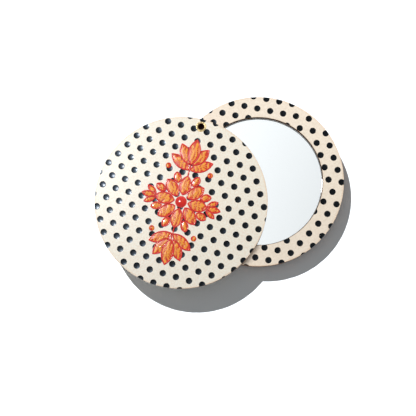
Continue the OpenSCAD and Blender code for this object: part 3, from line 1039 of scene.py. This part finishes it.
class MIRROR_OT_cover_face(bpy.types.Operator):
    """Make the dotted face of the cover"""
    bl_idname = "pocket_mirror.cover_face"
    bl_label = "Cover Face"

    def execute(self, context):
        sizes = context.scene.mirror_sizes
        holes = [pivot_hole(sizes, sizes.running_clearance)]
        dots = print_places((sizes.cover_print_x, sizes.cover_print_y), sizes.cover_print_turn,
                            sizes.cover_row_slip, NO_OPENING, sizes)
        add_face("cover", COVER, holes, dots, NO_OPENING, context.scene)
        return {"FINISHED"}


class MIRROR_OT_mirror(bpy.types.Operator):
    """Make the mirror glass and dress its coats and its adhesive"""
    bl_idname = "pocket_mirror.mirror"
    bl_label = "Mirror"

    def execute(self, context):
        colours = context.scene.mirror_colours
        # The glass reaches a hair into its silver coat, so that light in it meets the coat first
        bottom = low("mirror_glass").z - 0.01 * MM
        top = high("mirror_glass").z
        bevel = context.scene.mirror_sizes.glass_bevel
        profile = [(0, bottom), (GLASS_R, bottom), (GLASS_R, top - bevel), (GLASS_R - bevel, top), (0, top)]
        solid = revolved(profile, ORIGIN, RIM_POINTS, False)
        plate = add_piece("mirror_plate", solid, float_glass(colours), MIRROR_HALF, "float_glass",
                          "mirror_glass")
        plate.data.materials.append(ground_edge_painted_shade(colours))
        # Upright faces take the second material, the ground edge, whose dark colour is painted shade
        for face in plate.data.polygons:
            face.material_index = int(abs(face.normal.z) < 0.1)
        dress_node("mirror_silvering", silver_coat(colours))
        dress_node("mirror_backing", backing_paint(colours))
        dress_node("mirror_adhesive", adhesive_foam(colours))
        return {"FINISHED"}


class MIRROR_OT_pivot(bpy.types.Operator):
    """Make the rolled eyelet and its two washers"""
    bl_idname = "pocket_mirror.pivot"
    bl_label = "Pivot"

    def execute(self, context):
        sizes = context.scene.mirror_sizes
        colours = context.scene.mirror_colours
        brass = rolled_brass(colours)
        barrel_r = BORE_R + sizes.eyelet_wall
        roll_r = (HEAD_R - BORE_R) / 2
        middle = BORE_R + roll_r
        head_z = high("eyelet").z - roll_r
        tail_z = low("eyelet").z + roll_r
        turns = [k * math.pi / ROLL_STEPS for k in range(ROLL_STEPS + 1)]
        profile = [(barrel_r, tail_z), (barrel_r, head_z)]
        profile += [(middle + roll_r * math.cos(a), head_z + roll_r * math.sin(a)) for a in turns]
        profile += [(middle - roll_r * math.cos(a), tail_z - roll_r * math.sin(a)) for a in turns]
        self.add_round("rolled_eyelet", profile, brass, "eyelet_brass", "eyelet")

        inner = barrel_r + sizes.seat_clearance
        ease = sizes.washer_ease
        for node, radius, material, slot in (
                ("tail_washer", TAIL_WASHER_R, brass, "eyelet_brass"),
                ("spacer_washer", SPACER_R, nylon_sheet(colours), "washer_nylon")):
            bottom = low(node).z
            top = high(node).z
            profile = [(inner, bottom), (radius - ease, bottom), (radius, bottom + ease),
                       (radius, top - ease), (radius - ease, top), (inner, top)]
            self.add_round(node + "_cut", profile, material, slot, node)
        return {"FINISHED"}

    def add_round(self, name, profile, material, slot, node):
        """Turns a closed profile round the pivot and makes it a piece in place of a CAD node."""
        add_piece(name, revolved(profile, PIVOT_PLACE, PIVOT_POINTS, True), material, MIRROR_HALF, slot, node)


class MIRROR_OT_ornament(bpy.types.Operator):
    """Make the raised enamel ornament on the cover"""
    bl_idname = "pocket_mirror.ornament"
    bl_label = "Ornament"

    def execute(self, context):
        sizes = context.scene.ornament_sizes
        colours = context.scene.mirror_colours
        ground = high("cover_sheet").z
        blades, berries, berry_r = ornament_blades(sizes)
        cords, fields, veins = zip(*(blade_solids(blades, i, ground, sizes) for i in range(len(blades))))
        rings, drops = zip(*(berry_solids(place, berry_r, ground, sizes) for place in berries))
        stems = [stem_solid(arm, blades, ground, sizes) for arm in UPRIGHT_ARMS]
        radius = sizes.bead_d / 2
        dome_r = (radius ** 2 + sizes.bead_h ** 2) / (2 * sizes.bead_h)
        reaches = [radius * (1 - k / BEAD_STEPS) for k in range(BEAD_STEPS + 1)]
        dome = [(r, ground + math.sqrt(dome_r ** 2 - r ** 2) - dome_r + sizes.bead_h) for r in reaches]
        bead = revolved([(0, ground), *dome], ORIGIN, BEAD_POINTS, False)
        red = piped_enamel("red_cord_enamel", colours.red, colours.orange, 1.3)
        yellow = piped_enamel("yellow_vein_enamel", colours.yellow, colours.orange, 0.9)
        orange = field_enamel(colours)
        add_piece("ornament_cords", joined(cords + rings), red, COVER, "red_enamel", "motif_outline")
        add_piece("ornament_stems", joined(stems), red, COVER, "red_enamel", "motif_stems")
        add_piece("ornament_fields", joined(fields + drops), orange, COVER, "orange_enamel", "motif_fill")
        add_piece("ornament_veins", joined(veins), yellow, COVER, "yellow_enamel", "motif_veins")
        add_piece("ornament_bead", bead, red, COVER, "red_enamel", "motif_centre")
        return {"FINISHED"}


# Half the width of the floor, in metres
FLOOR_HALF = 3.0
# Upward parts of a direction between which the studio darkens in gloss
CEILING_HEIGHTS = (0.35, 0.86)
# Parts of a direction towards the fall side between which the light in the mirror falls off
FALL_REACH = (-0.1, 0.05)
# Brightness in the mirror before that fall and after it
FALL_LIGHT = (1.1, 0.88)


def aimed(name, data, position, target):
    """Links a lamp that shines from a position towards a target."""
    obj = bpy.data.objects.new(name, data)
    obj.location = position
    obj.rotation_euler = (Vector(target) - Vector(position)).to_track_quat("-Z", "Y").to_euler()
    bpy.context.scene.collection.objects.link(obj)
    return obj


def toward(tilt, side):
    """A direction given by its tilt from straight up and its side in the picture."""
    side = side + bpy.context.scene.mirror_stage.camera_turn
    return Vector((math.sin(tilt) * math.cos(side), math.sin(tilt) * math.sin(side), math.cos(tilt)))


def light_only(lamp, floor, state):
    """Limits a lamp to the floor (INCLUDE), or to everything but the floor (EXCLUDE)."""
    group = bpy.data.collections.new(lamp.name + "_reach")
    group.objects.link(floor)
    group.collection_objects[0].light_linking.link_state = state
    lamp.light_linking.receiver_collection = group


class MIRROR_OT_stage(bpy.types.Operator):
    """Make the pale floor, the lights and the camera"""
    bl_idname = "pocket_mirror.stage"
    bl_label = "Stage"

    def execute(self, context):
        scene = context.scene
        stage = scene.mirror_stage
        self.make_world(scene, stage)
        floor = self.make_floor(scene, stage)
        middle = (Vector(cad_bounds[0]) + Vector(cad_bounds[1])) / 2

        # The key is a wide softbox for matt surfaces, with a small bright lamp in its middle for the gloss
        key = toward(stage.key_tilt, stage.key_side)
        fill = toward(stage.fill_tilt, stage.fill_side)
        for name, size, light, reach, direction, in_gloss in (
                ("key_lamp", stage.spark_size, stage.spark_light, stage.key_distance, key, True),
                ("key_softbox", stage.key_size, stage.key_light, stage.key_distance, key, False),
                ("fill_softbox", stage.fill_size, stage.fill_light, stage.fill_distance, fill, False)):
            data = self.softbox(name, size, light, reach, direction)
            lamp = aimed(name, data, middle + direction * reach, middle)
            lamp.visible_camera = False
            lamp.visible_diffuse = not in_gloss
            lamp.visible_glossy = in_gloss
            lamp.visible_transmission = in_gloss
            light_only(lamp, floor, "EXCLUDE")

        sun = bpy.data.lights.new("shadow_sun", "SUN")
        sun.angle = stage.sun_width
        sun.energy = stage.sun_light * math.pi / math.cos(stage.sun_tilt)
        lamp = aimed("shadow_sun", sun, middle + toward(stage.sun_tilt, stage.sun_side), middle)
        light_only(lamp, floor, "INCLUDE")

        self.make_camera(scene, stage)
        scene.view_settings.view_transform = "Standard"
        return {"FINISHED"}

    def softbox(self, name, size, light, reach, direction):
        """The data of a round softbox that gives an upward white face the given share of full brightness."""
        data = bpy.data.lights.new(name, "AREA")
        data.shape = "DISK"
        data.size = size
        # Power P over a disc of radius r at distance d gives P cos(tilt) / (pi^2 (d^2 + r^2)) of full light
        data.energy = light * math.pi ** 2 * (reach ** 2 + (size / 2) ** 2) / direction.z
        return data

    def make_world(self, scene, stage):
        """White for what the camera, metal and glass see, and a dim overhead light for matt surfaces.

        In gloss the studio darkens overhead, where the camera hangs. In glass it falls off a little to
        one side.
        """
        world = bpy.data.worlds.new("studio")
        scene.world = world
        world.use_nodes = True
        tree = world.node_tree
        rays = add(tree, "LightPath").node.outputs
        direction = add(tree, "TexCoord", output="Generated")
        height = add(tree, "SeparateXYZ", direction, output="Z")
        around = add(tree, "MapRange", height, *CEILING_HEIGHTS, 1.0, stage.ceiling,
                     interpolation_type="SMOOTHSTEP")
        fall = toward(math.pi / 2, stage.fall_side)
        side = add(tree, "VectorMath", direction, fall, operation="DOT_PRODUCT")
        soft = add(tree, "MapRange", side, *FALL_REACH, *FALL_LIGHT)
        # Twice the squared height gives an upward face as much light as an even sky does
        above = add(tree, "Math", height, height, operation="MULTIPLY")
        matt = add(tree, "Math", above, 2 * stage.ambient, operation="MULTIPLY")
        light = add(tree, "Mix", rays["Is Glossy Ray"], matt, around)
        light = add(tree, "Mix", rays["Is Transmission Ray"], light, soft)
        light = add(tree, "Mix", rays["Is Camera Ray"], light, 1.0)
        connect(tree.nodes["Background"].inputs, ((1, 1, 1, 1), light))

    def make_floor(self, scene, stage):
        """A wide matt white sheet of paper that the mirror lies on, a touch blue from its brightener."""
        mesh = bpy.data.meshes.new("floor")
        corners = [(x * FLOOR_HALF, y * FLOOR_HALF, 0) for x, y in ((-1, -1), (1, -1), (1, 1), (-1, 1))]
        mesh.from_pydata(corners, [], [(0, 1, 2, 3)])
        floor = bpy.data.objects.new("floor", mesh)
        scene.collection.objects.link(floor)
        paper = Finish("matt_white_paper", stage.paper, Roughness=0.9, Specular_IOR_Level=0.2)
        paper.set(Normal=paper.add("Bump", Height=paper.flecks(1.5, detail=3), Distance=0.01 * MM))
        mesh.materials.append(paper.material)
        return floor

    def make_camera(self, scene, stage):
        """The camera of the photograph: nearly straight above, leaning to the picture's foot."""
        data = bpy.data.cameras.new("camera")
        data.lens = stage.lens
        data.shift_x = -stage.shift
        data.shift_y = stage.shift
        data.clip_start = 0.01
        turn = Matrix.Rotation(stage.camera_turn, 4, "Z")
        lean = Matrix.Rotation(stage.camera_lean_y, 4, "Y") @ Matrix.Rotation(stage.camera_lean_x, 4, "X")
        camera = bpy.data.objects.new("camera", data)
        camera.matrix_world = (turn @ Matrix.Translation((stage.aim_x, stage.aim_y, stage.aim_z)) @ lean
                               @ Matrix.Translation((0, 0, stage.camera_distance)))
        scene.collection.objects.link(camera)
        scene.camera = camera


OPERATORS = (MIRROR_OT_boards, MIRROR_OT_linings, MIRROR_OT_ring_face, MIRROR_OT_cover_face, MIRROR_OT_mirror,
             MIRROR_OT_pivot, MIRROR_OT_ornament, MIRROR_OT_stage)


class MIRROR_PT_panel(bpy.types.Panel):
    """Lists the steps that build the pocket mirror"""
    bl_idname = "MIRROR_PT_panel"
    bl_label = "Pocket Mirror"
    bl_space_type = "VIEW_3D"
    bl_region_type = "UI"
    bl_category = "Pocket Mirror"

    def draw(self, context):
        for operator in OPERATORS:
            self.layout.operator(operator.bl_idname)


GROUPS = {"mirror_sizes": MirrorSizes, "ornament_sizes": OrnamentSizes, "mirror_colours": MirrorColours,
          "mirror_stage": StageSettings}


def register():
    for cls in (*GROUPS.values(), *OPERATORS, MIRROR_PT_panel):
        bpy.utils.register_class(cls)
    for name, group in GROUPS.items():
        setattr(bpy.types.Scene, name, PointerProperty(type=group))


def unregister():
    for name in GROUPS:
        delattr(bpy.types.Scene, name)
    for cls in (MIRROR_PT_panel, *reversed(OPERATORS), *GROUPS.values()):
        bpy.utils.unregister_class(cls)


def main():
    """Builds every piece and the stage."""
    register()
    bpy.ops.pocket_mirror.boards()
    bpy.ops.pocket_mirror.linings()
    bpy.ops.pocket_mirror.ring_face()
    bpy.ops.pocket_mirror.cover_face()
    bpy.ops.pocket_mirror.mirror()
    bpy.ops.pocket_mirror.pivot()
    bpy.ops.pocket_mirror.ornament()
    bpy.ops.pocket_mirror.stage()


if __name__ == "__main__":
    main()
